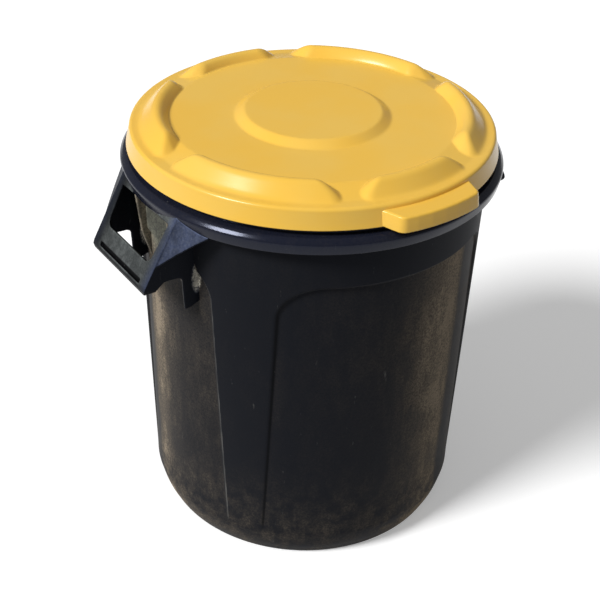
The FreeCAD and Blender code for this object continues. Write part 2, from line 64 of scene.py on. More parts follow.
def newMaterial(name):
    made = bpy.data.materials.new(name)
    made.use_nodes = True
    made.node_tree.nodes.clear()
    return made, made.node_tree


# a piecewise straight curve with its corners rounded over a width
def softLine(x, knots, width, samples=6001):
    xs, ys = zip(*knots)
    fine = np.linspace(xs[0] - width, xs[-1] + width, samples)
    area = np.cumsum(np.interp((fine[1:] + fine[:-1]) / 2, xs, ys) * np.diff(fine))
    area = np.concatenate(([0], area))
    x = np.clip(x, xs[0] - width / 2, xs[-1] + width / 2)
    return (np.interp(x + width / 2, fine, area) - np.interp(x - width / 2, fine, area)) / width


# the lower of two surfaces with a rounded edge where they meet
def softMin(a, b, width):
    share = np.clip(0.5 + 0.5 * (b - a) / width, 0, 1)
    return b * (1 - share) + a * share - width * share * (1 - share)


def softMax(a, b, width):
    return -softMin(-a, -b, width)


def smoothRise(x, start, end):
    share = np.clip((x - start) / (end - start), 0, 1)
    return share * share * (3 - 2 * share)


# a closed profile with rounded corners, from (across, up, radius) in mm
def roundedLoop(corners, steps=5):
    loop = []
    for index, (across, up, radius) in enumerate(corners):
        here = Vector((across, up))
        before = Vector(corners[index - 1][:2]) - here
        after = Vector(corners[(index + 1) % len(corners)][:2]) - here
        if radius == 0:
            loop.append(tuple(here))
            continue
        # a rounding takes less than half of either side
        reach = min(radius / math.tan(before.angle(after) / 2), before.length * 0.49, after.length * 0.49)
        start = here + before.normalized() * reach
        end = here + after.normalized() * reach
        for step in range(steps + 1):
            t = step / steps
            loop.append(tuple(start * (1 - t) ** 2 + here * 2 * t * (1 - t) + end * t ** 2))
    return np.array(loop)


# skin over closed sections in mm, the last one joined back to the first
def skinMesh(name, sections):
    count, ring = sections.shape[:2]
    index = np.arange(count * ring).reshape(count, ring)
    after = np.roll(index, -1, axis=0)
    quads = np.stack([index, after, np.roll(after, -1, axis=1), np.roll(index, -1, axis=1)], axis=-1)
    mesh = bpy.data.meshes.new(name)
    mesh.from_pydata((sections.reshape(-1, 3) * mm).tolist(), [], quads.reshape(-1, 4).tolist())
    work = bmesh.new()
    work.from_mesh(mesh)
    bmesh.ops.remove_doubles(work, verts=work.verts, dist=1e-6)
    bmesh.ops.dissolve_degenerate(work, edges=work.edges, dist=1e-7)
    bmesh.ops.recalc_face_normals(work, faces=work.faces)
    work.to_mesh(mesh)
    work.free()
    mesh.shade_smooth()
    return mesh


# radius, azimuth from the front in degrees and height, to a place
def polar(radius, azimuth, height):
    angle = np.radians(azimuth)
    return np.stack(np.broadcast_arrays(radius * np.sin(angle), -radius * np.cos(angle), height), axis=-1)


# a closed solid between two outlines that have the same number of corners
def addSolid(work, first, last):
    ends = [[work.verts.new(Vector(point) * mm) for point in outline] for outline in (first, last)]
    faces = [work.faces.new(ends[0][::-1]), work.faces.new(ends[1])]
    for index in range(len(first)):
        after = (index + 1) % len(first)
        faces.append(work.faces.new([ends[0][index], ends[0][after], ends[1][after], ends[1][index]]))
    bmesh.ops.recalc_face_normals(work, faces=faces)


# a straight solid from an outline, along Y or upright
def addPrism(work, corners, low, high, upright=False):
    addSolid(work, *[
        [(u, v, level) if upright else (u, level, v) for u, v in corners] for level in (low, high)])


def addHull(work, points):
    verts = [work.verts.new(Vector(point) * mm) for point in points]
    made = bmesh.ops.convex_hull(work, input=verts)
    spare = made["geom_interior"] + made["geom_unused"]
    spare = [item for item in spare if isinstance(item, bmesh.types.BMVert)]
    bmesh.ops.delete(work, geom=spare, context="VERTS")


# how overlapping solids become one moulding with slightly rounded edges: grid in mm, then smoothing
fusing = {"voxel": 0.9, "rounds": 2, "strength": 0.5}


def fusedMesh(name, work):
    mesh = bpy.data.meshes.new(name)
    work.to_mesh(mesh)
    work.free()
    shape = bpy.data.objects.new(name, mesh)
    bpy.context.scene.collection.objects.link(shape)
    fuse = shape.modifiers.new("fuse", "REMESH")
    fuse.mode = "VOXEL"
    fuse.voxel_size = fusing["voxel"] * mm
    ease = shape.modifiers.new("ease", "SMOOTH")
    ease.factor = fusing["strength"]
    ease.iterations = fusing["rounds"]
    ready = bpy.data.meshes.new_from_object(shape.evaluated_get(bpy.context.evaluated_depsgraph_get()))
    bpy.data.objects.remove(shape)
    ready.name = name
    ready.shade_smooth()
    return ready


def addPiece(name, mesh, material, body, nodes):
    piece = bpy.data.objects.new(name, mesh)
    bpy.context.scene.collection.objects.link(piece)
    piece.data.materials.append(material)
    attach(piece, body)
    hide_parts(*nodes)
    return piece


# The sizes of the wall and the handles come first, because the black plastic's dust and wear, and its painted
# shade and highlight, follow them.
# They are in mm and degrees.

# container wall with four recessed panels, rounded heel and floor
wall = {
    "thickness": 3.4, "footRadius": 216.2, "footHeight": 40, "topRadius": 228.2, "topHeight": 508,
    "panelFoot": 42, "panelFootDepth": 1.4, "panelTop": 450, "panelDepth": 5, "panelCorner": 45,
    "panelFade": (34, 92), "stepWidth": 4.5,    # heights where the panels run out, and their edges' width
    # the ribs between the panels: azimuth from the handles, and the angle they take up at two heights
    "ribAzimuth": 34.7, "ribTopAngle": 24, "ribFootAngle": 15.2, "ribHeights": (40, 405),
    # radius and height, with roundings for the heel
    "underside": [(0, 0), (60, 0), (120, 0), (180, 0), (198, 0)],
    "heel": [(150, 0, 0), (202, 0, 7), (210.9, 18.9, 60), (216.2, 40, 0), (150, 40, 0)],
    "floor": [(212.6, 40), (210, 24), (205, 12), (199, 6), (190, 4), (120, 4), (60, 4), (0, 4)],
    "azimuths": 960,
}

# handle: sloping plate with a hand hole, hooked grip bar, two cheeks and two flared wings
grip = {
    "plate": 4, "halfWidth": 69, "top": (244.7, 511), "foot": (285.4, 436.7), "barTop": 464, "beadTop": 524,
    "holeHalf": 55, "holeTopHalf": 58, "holeRound": 10, "postOverlap": 6,
    "grooveHalf": 52, "grooveShare": 0.72, "grooveWidth": 6, "grooveDepth": 3,
    # profiles as (reach, height): the bar's hooked foot, its lip, and the front and rear of a cheek
    "hookTop": 439.5, "hook": [(285.4, 434.5), (284.4, 429.4), (281.2, 427)],
    "lipTop": 438, "lip": [(268, 427), (268, 431), (277.6, 431.4)],
    "cheekFront": [(276, 427.4), (268, 432), (258, 440.5), (250, 441), (250, 464)],
    "cheekRear": [(207.5, 399), (222, 393), (230, 392), (231, 404), (232.6, 434), (234, 437.5), (238, 440),
                  (251, 441), (251, 461)],
    "cheekRearTops": (461, 518), "cheekRoot": [(230, 518), (216, 511), (213, 455), (209, 447)],
    "endFoot": 427, "endRound": 9, "endTurns": (18, 45, 72),
    "stripInner": 32, "stripFoot": 511.4, "stripRoot": 233,     # the plate's strip against the bead
    # wings: upper edge along the bead from the post to the tip, lower edge from foot to tip
    "wingAngles": (16.2, 26.5), "wingTop": (244.9, 511.5), "wingTopRise": (2.3, 11.5), "wingTopCurve": 1.5,
    "wingFoot": (270, 68, 463), "wingTip": (219.8, 109.2, 508.5), "wingFootCurve": 1.15, "wingPlate": 3,
    "wingSections": 12,
}
faceSlope = (grip["foot"][0] - grip["top"][0]) / (grip["top"][1] - grip["foot"][1])
slant = math.hypot(1, faceSlope)


def wallRadius(height):
    slope = (wall["topRadius"] - wall["footRadius"]) / (wall["topHeight"] - wall["footHeight"])
    return wall["footRadius"] + (height - wall["footHeight"]) * slope


# moulded polyethylene, black: satin, with dust that settles low down and in the recessed panels; painted
# shade and painted highlight mark some edges
blackValues = {
    # the pale scuff grey also paints the highlight along the panels' edges
    "dust": "#85796a", "wingDustAndSkyReflection": "#85796a", "paleDust": "#ab9d88", "paleShare": 0.8, "scuffAndHighlight": "#8a8a86",
    # the near-black #040404 is painted shade, for under the panels' edges and in the grip's groove
    "paintedShade": "#040404", "speckle": (0.45, 1.7), "dustRoughness": 0.8, "uneven": 0.12, "ior": 1.51,
    "tint": "#dfe6ff",
    # shares of dust, of painted shade in the grip's groove and of worn edges with painted highlight, for each
    # piece to raise
    "low": 0, "panels": 0, "behind": 0, "corners": 0, "lying": 0, "groove": 0, "edgeWearAndPaintedLight": 0,
    # pattern sizes in mm; the moulded grain is finer than a pixel in life, so it is drawn coarser to show
    "blotch": 85, "streak": 16, "clump": 20, "speck": 2.6, "grain": 1.4, "scuff": 9, "wave": 70,
    # places in mm, each from where its effect starts to where it is full
    "lowHeights": (170, -30), "edgeMarkHeights": (46, 60), "inPanel": (1, 3.6), "grooveSunk": (0.5, 1.5),
    "grooveEnds": (54.5, 53), "wingStart": (54, 68), "rearEnds": (58, 42),
    "openShare": 0.17, "rearShare": 0.2,    # dust low down in the open, and on the handles' rear ends
    # share of dust in the panels by azimuth from the front, in degrees; the peaks near -100 and 20 are dust
    # with painted sheen
    "dustAndSheen": [
        (-180, 0.08), (-128, 0.05), (-106, 0.05), (-103, 0.65), (-98, 0.85), (-91, 0.22), (-82, 0.08),
        (-66, 0.07), (-40, 0.0), (-24, 0.01), (-5, 0.03), (4, 0.15), (12, 0.5), (20, 1.0), (25, 1.0),
        (28.5, 0.05), (60, 0.2), (90, 0.35), (100, 0.8), (104, 0.1), (180, 0.08)],
    # share of wear and painted highlight on the panels' edges, and of painted shade under them, in the same
    # way
    "wearAndHighlight": [
        (-180, 0.5), (-100, 0.5), (-66, 1), (-57, 1), (-52, 0), (-6, 0), (12, 0.9), (40, 1), (60, 0.4),
        (180, 0.5)],
    "seamShade": [
        (-180, 0.2), (-56, 0.1), (-52, 1), (-25, 0.9), (5, 0.2), (40, 0.1), (44, 0.8), (60, 0.2), (180, 0.2)],
    # patches of dust behind the grip bars, and of dust with painted sunlight in the corners beside the
    # handles' cheeks:
    # middle, measured after the squash that follows it, distances where it starts and is full, how broken up,
    # and colour
    "patches": {
        "behind": ((222, 0, 478), (1, 1, 1), (72, 35), 0.3, "#7f8578"),
        "corners": ((213.5, 66.5, 151.5), (1, 1, 0.35), (8.5, 3), 0.9, "#ece7d8"),
    },
}


def blackPolyethylene(name, kind):
    made, tree = newMaterial(name)
    v = {**blackValues, **kind}
    place = addNode(tree, "TexCoord", out=3)
    across, along, height = addNode(tree, "SeparateXYZ", {0: place}, out=slice(None))
    forward = addNode(tree, "Math", {0: along, 1: -1}, operation="MULTIPLY")
    mirrored = addNode(tree, "VectorMath", {0: place}, operation="ABSOLUTE")
    beside = addNode(tree, "SeparateXYZ", {0: mirrored}, out=1)

    blotch = addNode(tree, "TexNoise", {
        "Vector": place, "Scale": 1 / (v["blotch"] * mm), "Detail": 6, "Roughness": 0.62})
    tall = addNode(tree, "Mapping", {"Vector": place, "Scale": (1, 1, 0.38)})
    streak = addNode(tree, "TexNoise", {
        "Vector": tall, "Scale": 1 / (v["streak"] * mm), "Detail": 4, "Roughness": 0.6})
    clump = addNode(tree, "TexNoise", {
        "Vector": place, "Scale": 1 / (v["clump"] * mm), "Detail": 6, "Roughness": 0.72})
    speck = addNode(tree, "TexNoise", {
        "Vector": place, "Scale": 1 / (v["speck"] * mm), "Detail": 3, "Roughness": 0.7})

    # shares by azimuth, each from a ramp round the container
    azimuth = addNode(tree, "Math", {0: across, 1: forward}, operation="ARCTAN2")
    turn = addNode(tree, "MapRange", {"Value": azimuth, "From Min": -math.pi, "From Max": math.pi})
    byAzimuth = {}
    for trait in ("dustAndSheen", "wearAndHighlight", "seamShade"):
        byAzimuth[trait] = addNode(tree, "ValToRGB", {0: turn})
        steps = byAzimuth[trait].node.color_ramp.elements
        while len(steps) < len(v[trait]):
            steps.new(0.5)
        for step, (where, share) in zip(steps, v[trait]):
            step.position = (where + 180) / 360
            step.color = (share, share, share, 1)
    dustAndSheen = byAzimuth["dustAndSheen"]

    # the panels are the places that lie inside the wall's plain taper
    flat = addNode(tree, "VectorMath", {0: place, 1: (1, 1, 0)}, operation="MULTIPLY")
    radius = addNode(tree, "VectorMath", {0: flat}, out=1, operation="LENGTH")
    taper = addNode(tree, "Math", {
        0: height, 1: wallRadius(1) - wallRadius(0), 2: wallRadius(0) * mm}, operation="MULTIPLY_ADD")
    inset = addNode(tree, "Math", {0: taper, 1: radius}, operation="SUBTRACT")
    start, full = v["inPanel"]
    inPanel = addNode(tree, "MapRange", {
        "Value": inset, "From Min": start * mm, "From Max": full * mm, "To Max": v["panels"]})

    # dust low down, in clumps, and in the panels, with painted sheen where the azimuth share peaks
    start, full = v["lowHeights"]
    settled = addNode(tree, "MapRange", {
        "Value": height, "From Min": start * mm, "From Max": full * mm, "To Max": v["low"]},
        interpolation_type="SMOOTHSTEP")
    clumps = addNode(tree, "MapRange", {
        "Value": clump, "From Min": 0.4, "From Max": 0.64, "To Min": 0.2, "To Max": 1.8})
    lower = addNode(tree, "Math", {0: dustAndSheen, 1: v["openShare"]}, operation="ADD")
    lower = addNode(tree, "Math", {0: lower, 1: settled}, operation="MULTIPLY")
    lower = addNode(tree, "Math", {0: lower, 1: clumps}, operation="MULTIPLY")
    zones = addNode(tree, "Math", {0: dustAndSheen, 1: inPanel, 2: lower}, operation="MULTIPLY_ADD")
    zones = addNode(tree, "Math", {0: zones, 1: v["everywhere"]}, operation="ADD")

    patches = []
    for spot, (middle, squash, (start, full), ragged, colour) in v["patches"].items():
        pressed = addNode(tree, "VectorMath", {0: mirrored, 1: squash}, operation="MULTIPLY")
        away = addNode(tree, "VectorMath", {0: pressed, 1: [part * mm for part in middle]},
                       out=1, operation="DISTANCE")
        patch = addNode(tree, "MapRange", {
            "Value": away, "From Min": start * mm, "From Max": full * mm, "To Max": v[spot]})
        broken = addNode(tree, "MapRange", {
            "Value": speck, "From Min": 0.3, "From Max": 0.55, "To Min": 1 - ragged})
        patch = addNode(tree, "Math", {0: patch, 1: broken}, operation="MULTIPLY", use_clamp=True)
        zones = addNode(tree, "Math", {0: zones, 1: patch}, operation="MAXIMUM")
        patches.append((patch, colour))

    # dust lies on what faces up, less so on the handles' rear ends; on the wings it takes the bluish painted
    # sky reflection
    upward = addNode(tree, "SeparateXYZ", {0: addNode(tree, "NewGeometry", out=1)}, out=2)
    lying = addNode(tree, "MapRange", {
        "Value": upward, "From Min": 0.15, "From Max": 0.6, "To Max": v["lying"]})
    start, full = v["rearEnds"]
    nearer = addNode(tree, "MapRange", {
        "Value": forward, "From Min": -start * mm, "From Max": -full * mm, "To Min": v["rearShare"]})
    lying = addNode(tree, "Math", {0: lying, 1: nearer}, operation="MULTIPLY")
    zones = addNode(tree, "Math", {0: zones, 1: lying}, operation="ADD")

    # the grip's groove, behind the plane of the handle's plate, is kept free of dust and painted black as
    # shade
    behind = addNode(tree, "VectorMath", {0: mirrored, 1: (1, 0, faceSlope)}, out=1, operation="DOT_PRODUCT")
    plane = grip["top"][0] + grip["top"][1] * faceSlope
    start, full = v["grooveSunk"]
    sunk = addNode(tree, "MapRange", {
        "Value": behind, "From Min": (plane - start) * mm, "From Max": (plane - full) * mm})
    start, full = v["grooveEnds"]
    between = addNode(tree, "MapRange", {
        "Value": beside, "From Min": start * mm, "From Max": full * mm, "To Max": v["groove"]})
    groove = addNode(tree, "Math", {0: sunk, 1: between}, operation="MULTIPLY")
    clear = addNode(tree, "Math", {0: 1, 1: groove}, operation="SUBTRACT")
    zones = addNode(tree, "Math", {0: zones, 1: clear}, operation="MULTIPLY")

    # the dust is cloudy and speckled
    patchy = addNode(tree, "Math", {0: blotch, 1: streak}, operation="MULTIPLY")
    cloudy = addNode(tree, "MapRange", {
        "Value": patchy, "From Min": 0.19, "From Max": 0.34, "To Min": 0.5, "To Max": 1.0},
        interpolation_type="SMOOTHSTEP")
    least, most = v["speckle"]
    spots = addNode(tree, "MapRange", {
        "Value": speck, "From Min": 0.35, "From Max": 0.72, "To Min": least, "To Max": most})
    film = addNode(tree, "Math", {0: zones, 1: cloudy}, operation="MULTIPLY")
    mask = addNode(tree, "Math", {0: film, 1: spots}, operation="MULTIPLY", use_clamp=True)

    # the dust on the handles' wings is tinted bluish as a painted sky reflection
    start, full = v["wingStart"]
    flared = addNode(tree, "MapRange", {"Value": beside, "From Min": start * mm, "From Max": full * mm})
    tone = addNode(tree, "Mix", {
        0: flared, 6: linear(v["dust"]), 7: linear(v["wingDustAndSkyReflection"])}, out=2, data_type="RGBA")
    pale = addNode(tree, "Math", {0: speck, 1: v["paleShare"]}, operation="MULTIPLY")
    tone = addNode(tree, "Mix", {0: pale, 6: tone, 7: linear(v["paleDust"])}, out=2, data_type="RGBA")
    for patch, colour in patches:
        tone = addNode(tree, "Mix", {0: patch, 6: tone, 7: linear(colour)}, out=2, data_type="RGBA")
    paint = addNode(tree, "Mix", {0: mask, 6: linear(v["colour"]), 7: tone}, out=2, data_type="RGBA")

    # how deep a place lies in its panel's edge, as a share of the panel's depth at that height
    depth = addNode(tree, "MapRange", {
        "Value": height, "From Min": wall["panelFoot"] * mm, "From Max": wall["panelTop"] * mm,
        "To Min": wall["panelFootDepth"] * mm, "To Max": wall["panelDepth"] * mm})
    start, full = wall["panelFade"]
    runOut = addNode(tree, "MapRange", {
        "Value": height, "From Min": start * mm, "From Max": full * mm}, interpolation_type="SMOOTHSTEP")
    depth = addNode(tree, "Math", {0: depth, 1: runOut}, operation="MULTIPLY")
    depth = addNode(tree, "Math", {0: depth, 1: 0.25 * mm}, operation="MAXIMUM")    # it is divided by below
    share = addNode(tree, "Math", {0: inset, 1: depth}, operation="DIVIDE")
    start, full = v["edgeMarkHeights"]
    above = addNode(tree, "MapRange", {"Value": height, "From Min": start * mm, "From Max": full * mm})

    # painted shade: a dark line under a panel's edge where its step faces away from the lamp, and black in
    # the grip's groove
    under = addNode(tree, "MapRange", {
        "Value": share, "From Min": 0.15, "From Max": 0.45, "To Max": v["edgeWearAndPaintedLight"]})
    bottom = addNode(tree, "MapRange", {"Value": share, "From Min": 0.96, "From Max": 0.82, "To Max": 1.6})
    seamShade = addNode(tree, "Math", {0: under, 1: bottom}, operation="MULTIPLY")
    seamShade = addNode(tree, "Math", {0: seamShade, 1: byAzimuth["seamShade"]}, operation="MULTIPLY")
    seamShade = addNode(tree, "Math", {0: seamShade, 1: above}, operation="MULTIPLY")
    seamShade = addNode(tree, "Math", {0: seamShade, 1: groove}, operation="MAXIMUM", use_clamp=True)
    paint = addNode(tree, "Mix", {0: seamShade, 6: paint, 7: linear(v["paintedShade"])}, out=2, data_type="RGBA")

    # short pale scuffs, stretched noise cut off near its peaks, and the panels' edges worn pale, in part a
    # painted highlight where the edges catch the lamp
    tilted = addNode(tree, "Mapping", {"Vector": place, "Rotation": (0.3, 0.5, 0), "Scale": (1, 1, 0.22)})
    scuff = addNode(tree, "TexNoise", {
        "Vector": tilted, "Scale": 1 / (v["scuff"] * mm), "Detail": 8, "Roughness": 0.75})
    marks = addNode(tree, "MapRange", {"Value": scuff, "From Min": 0.64, "From Max": 0.72, "To Max": 0.3})
    edge = addNode(tree, "MapRange", {
        "Value": share, "From Min": 0.005, "From Max": 0.04, "To Max": v["edgeWearAndPaintedLight"]})
    below = addNode(tree, "MapRange", {"Value": share, "From Min": 0.6, "From Max": 0.1})
    uneven = addNode(tree, "MapRange", {
        "Value": streak, "From Min": 0.35, "From Max": 0.65, "To Min": 0.15, "To Max": 0.9})
    edgeWearAndPaintedLight = addNode(tree, "Math", {0: edge, 1: below}, operation="MULTIPLY")
    edgeWearAndPaintedLight = addNode(tree, "Math", {0: edgeWearAndPaintedLight, 1: byAzimuth["wearAndHighlight"]}, operation="MULTIPLY")
    edgeWearAndPaintedLight = addNode(tree, "Math", {0: edgeWearAndPaintedLight, 1: above}, operation="MULTIPLY")
    edgeWearAndPaintedLight = addNode(tree, "Math", {0: edgeWearAndPaintedLight, 1: uneven}, operation="MULTIPLY")
    marks = addNode(tree, "Math", {0: marks, 1: edgeWearAndPaintedLight}, operation="ADD", use_clamp=True)
    paint = addNode(tree, "Mix", {0: marks, 6: paint, 7: linear(v["scuffAndHighlight"])}, out=2, data_type="RGBA")

    rough = addNode(tree, "Mix", {0: mask, 2: v["roughness"], 3: v["dustRoughness"]})
    rough = addNode(tree, "Math", {0: blotch, 1: v["uneven"], 2: rough}, operation="MULTIPLY_ADD")
    grain = addNode(tree, "TexNoise", {"Vector": place, "Scale": 1 / (v["grain"] * mm), "Detail": 2})
    relief = addNode(tree, "Math", {0: speck, 1: mask, 2: grain}, operation="MULTIPLY_ADD")
    fine = addNode(tree, "Bump", {"Height": relief, "Strength": 0.35, "Distance": 0.12 * mm})
    # slow waves that a moulded wall has, which break up its reflections
    wave = addNode(tree, "TexNoise", {"Vector": place, "Scale": 1 / (v["wave"] * mm), "Detail": 1})
    normal = addNode(tree, "Bump", {"Height": wave, "Strength": 0.5, "Distance": 1.2 * mm, "Normal": fine})
    shader = addNode(tree, "BsdfPrincipled", {
        "Base Color": paint, "Roughness": rough, "Normal": normal, "IOR": v["ior"],
        "Specular IOR Level": v["level"], "Specular Tint": linear(v["tint"])})
    addNode(tree, "OutputMaterial", {"Surface": shader}, out=slice(0))
    return made


# moulded polyethylene, yellow: semi-gloss, lightly faded, with fine scratches; pattern sizes in mm, with the
# grain drawn coarser than in life, so that it shows
yellowValues = {
    "colour": "#f1c04c", "faded": "#eec35b", "dirt": "#7b5a24", "roughness": 0.24, "uneven": 0.14,
    "ior": 1.51, "level": 0.32, "fade": 110, "grain": 1.6, "scratch": 5, "wave": 60,
}


def yellowPolyethylene(name):
    made, tree = newMaterial(name)
    v = yellowValues
    place = addNode(tree, "TexCoord", out=3)
    fade = addNode(tree, "TexNoise", {"Vector": place, "Scale": 1 / (v["fade"] * mm), "Detail": 4})
    share = addNode(tree, "MapRange", {"Value": fade, "From Min": 0.35, "From Max": 0.65, "To Max": 0.7},
                    interpolation_type="SMOOTHSTEP")
    colour = addNode(tree, "Mix", {
        0: share, 6: linear(v["colour"]), 7: linear(v["faded"])}, out=2, data_type="RGBA")
    # fine scratches along one direction, which hold a little dirt
    turned = addNode(tree, "Mapping", {"Vector": place, "Rotation": (0, 0, 0.7), "Scale": (0.12, 1, 1)})
    scratch = addNode(tree, "TexNoise", {
        "Vector": turned, "Scale": 1 / (v["scratch"] * mm), "Detail": 8, "Roughness": 0.8})
    lines = addNode(tree, "MapRange", {"Value": scratch, "From Min": 0.69, "From Max": 0.76, "To Max": 0.3})
    colour = addNode(tree, "Mix", {0: lines, 6: colour, 7: linear(v["dirt"])}, out=2, data_type="RGBA")
    rough = addNode(tree, "Math", {
        0: fade, 1: v["uneven"], 2: v["roughness"] - v["uneven"] / 2}, operation="MULTIPLY_ADD")
    rough = addNode(tree, "Math", {0: lines, 1: 0.5, 2: rough}, operation="MULTIPLY_ADD")
    grain = addNode(tree, "TexNoise", {"Vector": place, "Scale": 1 / (v["grain"] * mm), "Detail": 2})
    fine = addNode(tree, "Bump", {"Height": grain, "Strength": 0.2, "Distance": 0.08 * mm})
    wave = addNode(tree, "TexNoise", {"Vector": place, "Scale": 1 / (v["wave"] * mm), "Detail": 1})
    normal = addNode(tree, "Bump", {"Height": wave, "Strength": 0.3, "Distance": 0.9 * mm, "Normal": fine})
    shader = addNode(tree, "BsdfPrincipled", {
        "Base Color": colour, "Roughness": rough, "Normal": normal, "IOR": v["ior"],
        "Specular IOR Level": v["level"]})
    addNode(tree, "OutputMaterial", {"Surface": shader}, out=slice(0))
    return made


# what the black pieces differ in: colour, gloss, and shares of dust, painted shade, and wear with painted
# highlight
kinds = {
    "Wall": {
        "colour": "#17191e", "level": 0.05, "roughness": 0.45, "everywhere": 0.01, "low": 0.75, "panels": 1.5,
        "behind": 0.75, "corners": 2.2, "edgeWearAndPaintedLight": 0.45},
    "Rim": {"colour": "#151927", "level": 0.21, "roughness": 0.09, "everywhere": 0.02},
    # the handles' black is darker than the wall's, as painted shade for their shaded cheeks; the bluish tone
    # of their wing dust is a painted sky reflection
    "Handle": {
        "colour": "#07080a", "level": 0.06, "roughness": 0.35, "dust": "#6a6f6f", "wingDustAndSkyReflection": "#56679a",
        "paleDust": "#7c807e", "speckle": (0.75, 1.25), "everywhere": 0.03, "lying": 0.72, "corners": 2.2,
        "groove": 1},
    "Ribs": {"colour": "#1d1f24", "level": 0.2, "roughness": 0.45, "dust": "#827d6c", "everywhere": 0.9},
}
wallPlastic, rimPlastic, handlePlastic, ribPlastic = [
    blackPolyethylene("mouldedPolyethyleneBlack" + kind, values) for kind, values in kinds.items()]
lidPlastic = yellowPolyethylene("mouldedPolyethyleneYellow")
print("materials made")


# how far a panel is set back at a place on the wall
def panelInset(azimuth, height):
    around = np.abs((azimuth + 180) % 360 - 180)
    low, high = wall["ribHeights"]
    corner = wall["panelCorner"]
    depth = np.interp(height, [wall["panelFoot"], wall["panelTop"]],
                      [wall["panelFootDepth"], wall["panelDepth"]])
    depth = depth * smoothRise(height, *wall["panelFade"])
    inset = 0
    # the front and back panels, then the two beside the handles
    for offset, middle in ((np.minimum(around, 180 - around), 90 - wall["ribAzimuth"]),
                           (np.abs(90 - around), wall["ribAzimuth"])):
        across = wallRadius(height) * np.sin(np.radians(offset))
        foot = wallRadius(low) * math.sin(math.radians(middle - wall["ribFootAngle"] / 2))
        top = wallRadius(high) * math.sin(math.radians(middle - wall["ribTopAngle"] / 2))
        halfWidth = np.interp(height, [low, high], [foot, top])
        inside = corner - np.hypot(np.maximum(across - halfWidth + corner, 0),
                                   np.maximum(height - wall["panelTop"] + corner, 0))
        inset = np.maximum(inset, depth * smoothRise(inside, -wall["stepWidth"], 0))
    return inset


def containerMesh():
    azimuths = np.arange(wall["azimuths"]) * 360 / wall["azimuths"]
    around = azimuths[:, None]
    # the heel's first and last corners only lead into its roundings
    bottom = np.concatenate([wall["underside"], roundedLoop(wall["heel"], 8)[1:-1]])
    # rows of the wall, closest together round the panels' upper corners, and every other one inside
    heights = np.unique(np.concatenate([
        np.arange(42, 60, 3), np.arange(60, 396, 8), np.arange(396, 462, 1.5), np.arange(462, 508, 8),
        [wall["topHeight"]]]))
    inHeights = heights[:0:-2]
    outside = wallRadius(heights)[None, :] - panelInset(around, heights[None, :])
    inside = wallRadius(inHeights)[None, :] - panelInset(around, inHeights[None, :]) - wall["thickness"]
    floor = np.array(wall["floor"])
    once = (len(azimuths), 1)
    radii = np.concatenate([np.tile(bottom[:, 0], once), outside, inside, np.tile(floor[:, 0], once)], axis=1)
    levels = np.concatenate([bottom[:, 1], heights, inHeights, floor[:, 1]])
    return skinMesh("containerBody", polar(radii, around, levels[None, :]))


addPiece("containerBody", containerMesh(), wallPlastic, "container",
         ["container_base", "container_wall"])
print("container body made")


# rim: neck that the lid drops over, with a hollow bead round it, as radius, height and rounding in mm
rim = {
    "corners": [
        (224.8, 508, 0), (228.2, 508, 0), (229.1, 528.1, 1.5), (239.4, 528.1, 3), (244.0, 523.6, 4),
        (241.4, 511, 0.8), (244.7, 511, 1.2), (247.6, 524.5, 5), (241.6, 531.5, 7), (229.4, 531.5, 2.5),
        (230.2, 561.7, 1.2), (226.8, 561.7, 1.2)],
    "azimuths": 480,
}


def rimMesh():
    loop = roundedLoop(rim["corners"])
    azimuths = np.arange(rim["azimuths"]) * 360 / rim["azimuths"]
    return skinMesh("containerRim", polar(loop[None, :, 0], azimuths[:, None], loop[None, :, 1]))


addPiece("containerRim", rimMesh(), rimPlastic, "container", ["container_rim"])
print("rim made")


# a point on the handle's plate: height of the outer face's point, and depth behind that face
def onPlate(height, depth=0):
    reach = grip["top"][0] + (grip["top"][1] - height) * faceSlope
    return reach - depth / slant, height - depth * faceSlope / slant


# a wing's sections from the post to its tip on the bead, each with an outer and an inner edge
def wingSections(side):
    foot, tip = np.array(grip["wingFoot"]), np.array(grip["wingTip"])
    (radius, level), (flare, rise) = grip["wingTop"], grip["wingTopRise"]
    tops, feet = [], []
    for u in np.linspace(0, 1, grip["wingSections"]):
        turn = math.radians(grip["wingAngles"][0] + u * (grip["wingAngles"][1] - grip["wingAngles"][0]))
        lift = (1 - u) ** grip["wingTopCurve"]
        reach = radius + flare * lift
        tops.append((reach * math.cos(turn), reach * math.sin(turn), level + rise * lift))
        low = foot + (tip - foot) * u
        low[2] = foot[2] + (tip[2] - foot[2]) * (1 - (1 - u) ** grip["wingFootCurve"])
        feet.append(low)
    tops, feet = np.array(tops), np.array(feet)
    normals = np.cross(np.gradient((tops + feet) / 2, axis=0), tops - feet)
    normals[-1] = normals[-2]
    normals = normals / np.linalg.norm(normals, axis=1)[:, None] * grip["wingPlate"]
    normals = normals * np.sign(normals[:, :1])
    sections = np.stack([tops, feet, feet - normals, tops - normals], axis=1)
    return sections * np.array([1, side, 1])


